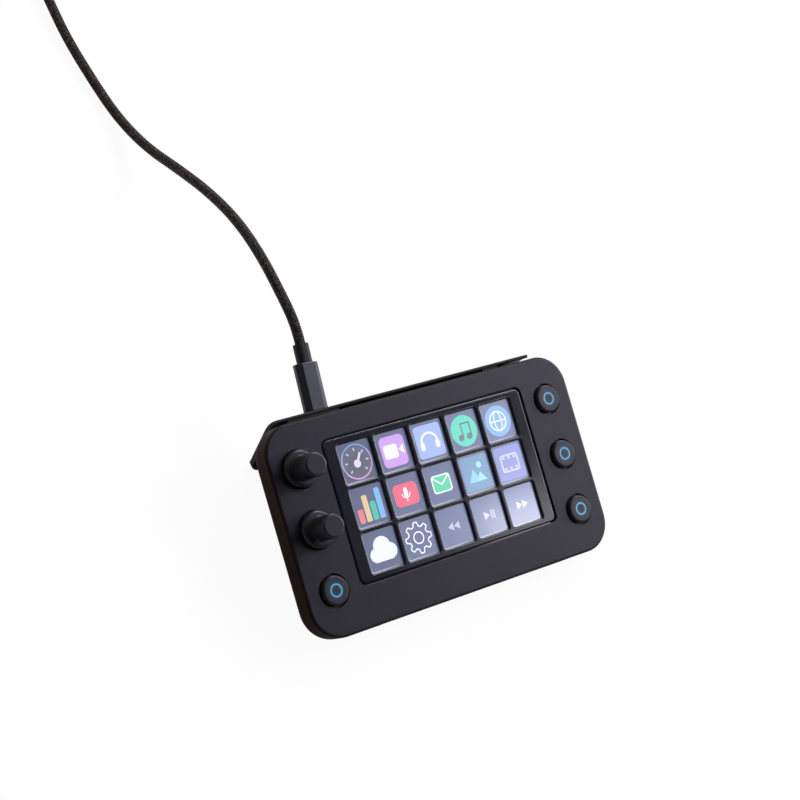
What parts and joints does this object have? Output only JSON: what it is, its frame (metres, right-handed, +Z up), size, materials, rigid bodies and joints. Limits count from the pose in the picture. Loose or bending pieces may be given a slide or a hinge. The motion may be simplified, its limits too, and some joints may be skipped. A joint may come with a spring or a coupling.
{
  "type": "macro keypad with knobs",
  "caption": "Tilted desk keypad with a grid touch display, push-and-turn knobs, lit round push buttons, a clip-on leg and a braided USB cord.",
  "frame": {"origin": "bottom centre of the keypad's own box, on the table under it, without the cord", "axes": "+X to the keypad's right, +Y away from the user, +Z up from the table"},
  "size_m": [0.15, 0.415, 0.0461],
  "materials": {
    "shell": "soft-touch near-black charcoal, fine matte grain",
    "key_grid": "smooth black grid over the screen",
    "screen_glass": "clear dark glass, glossy",
    "display": "lit display with slate-blue key pictures",
    "sheet_steel": "plain plated sheet steel",
    "foam": "dark closed-cell foam",
    "flex": "amber polyimide ribbon",
    "board": "dark green solder mask",
    "screw_steel": "dark zinc-plated steel",
    "plated_steel": "nickel-plated brass and steel",
    "shaft_metal": "turned aluminium",
    "plunger": "natural white acetal",
    "switch_body": "black moulded switch case",
    "lamp": "white encapsulated lamp",
    "light_ring": "clear ring lit cyan-blue",
    "button": "charcoal moulded cap, satin",
    "knob": "charcoal moulded knob, soft satin",
    "stand_plastic": "near-black moulded plastic, matte",
    "foot_rubber": "soft black rubber",
    "plug_grip": "charcoal moulded grip, satin",
    "plug_metal": "nickel-plated steel",
    "braid": "black braided sleeve with fine brown flecks",
    "tie_strap": "black hook-and-loop strap"
  },
  "bodies": {
    "casing": {"board_link": "flex", "board_screws": "screw_steel", "cable_coil": "braid", "cable_run": "braid", "cable_tail": "braid", "cable_tie": "tie_strap", "case_screws": "screw_steel", "display_flex": "flex", "display_foam": "foam", "encoder_body_lower": "switch_body", "encoder_body_upper": "switch_body", "encoder_bushing_lower": "plated_steel", "encoder_bushing_upper": "plated_steel", "encoder_nut_lower": "plated_steel", "encoder_nut_upper": "plated_steel", "front_feet": "foot_rubber", "front_shell": "shell", "haptic_motor": "sheet_steel", "key_frame": "key_grid", "knob_board": "board", "lcd_backplate": "sheet_steel", "lcd_panel": "display", "main_board": "board", "plug_a_overmold": "plug_grip", "plug_a_tip": "plug_metal", "plug_neck": "plug_grip", "plug_overmold": "plug_grip", "plug_tip": "plug_metal", "processor_can": "sheet_steel", "rear_cover": "shell", "ring_leds": "lamp", "stand": "stand_plastic", "stand_foot": "foot_rubber", "switch_left": "switch_body", "switch_right_lower": "switch_body", "switch_right_middle": "switch_body", "switch_right_upper": "switch_body", "touch_glass": "screen_glass", "usb_receptacle": "plug_metal"},
    "button_right_upper": {"button_right_upper": "button", "ring_right_upper": "light_ring"},
    "button_right_middle": {"button_right_middle": "button", "ring_right_middle": "light_ring"},
    "button_right_lower": {"button_right_lower": "button", "ring_right_lower": "light_ring"},
    "button_left": {"button_left": "button", "ring_left": "light_ring"},
    "push_upper": {"push_plunger_upper": "plunger"},
    "knob_upper": {"knob_upper": "knob", "encoder_shaft_upper": "shaft_metal"},
    "push_lower": {"push_plunger_lower": "plunger"},
    "knob_lower": {"knob_lower": "knob", "encoder_shaft_lower": "shaft_metal"}
  },
  "joints": [
    {"name": "press_right_upper", "type": "slide", "parent": "casing", "child": "button_right_upper", "axis": [0, 0.309, -0.9511], "range_m": [0, 0.0006], "stiffness_N_per_m": 2000, "springref_m": -0.0005},
    {"name": "press_right_middle", "type": "slide", "parent": "casing", "child": "button_right_middle", "axis": [0, 0.309, -0.9511], "range_m": [0, 0.0006], "stiffness_N_per_m": 2000, "springref_m": -0.0005},
    {"name": "press_right_lower", "type": "slide", "parent": "casing", "child": "button_right_lower", "axis": [0, 0.309, -0.9511], "range_m": [0, 0.0006], "stiffness_N_per_m": 2000, "springref_m": -0.0005},
    {"name": "press_left", "type": "slide", "parent": "casing", "child": "button_left", "axis": [0, 0.309, -0.9511], "range_m": [0, 0.0006], "stiffness_N_per_m": 2000, "springref_m": -0.0005},
    {"name": "push_upper_down", "type": "slide", "parent": "casing", "child": "push_upper", "axis": [0, 0.309, -0.9511], "range_m": [0, 0.0008], "stiffness_N_per_m": 1500, "springref_m": -0.001},
    {"name": "turn_upper", "type": "hinge", "parent": "push_upper", "child": "knob_upper", "pos_m": [-0.0622, 0.01993, 0.03137], "axis": [0, -0.309, 0.9511], "continuous": true},
    {"name": "push_lower_down", "type": "slide", "parent": "casing", "child": "push_lower", "axis": [0, 0.309, -0.9511], "range_m": [0, 0.0008], "stiffness_N_per_m": 1500, "springref_m": -0.001},
    {"name": "turn_lower", "type": "hinge", "parent": "push_lower", "child": "knob_lower", "pos_m": [-0.0622, -0.0029, 0.02395], "axis": [0, -0.309, 0.9511], "continuous": true}
  ]
}
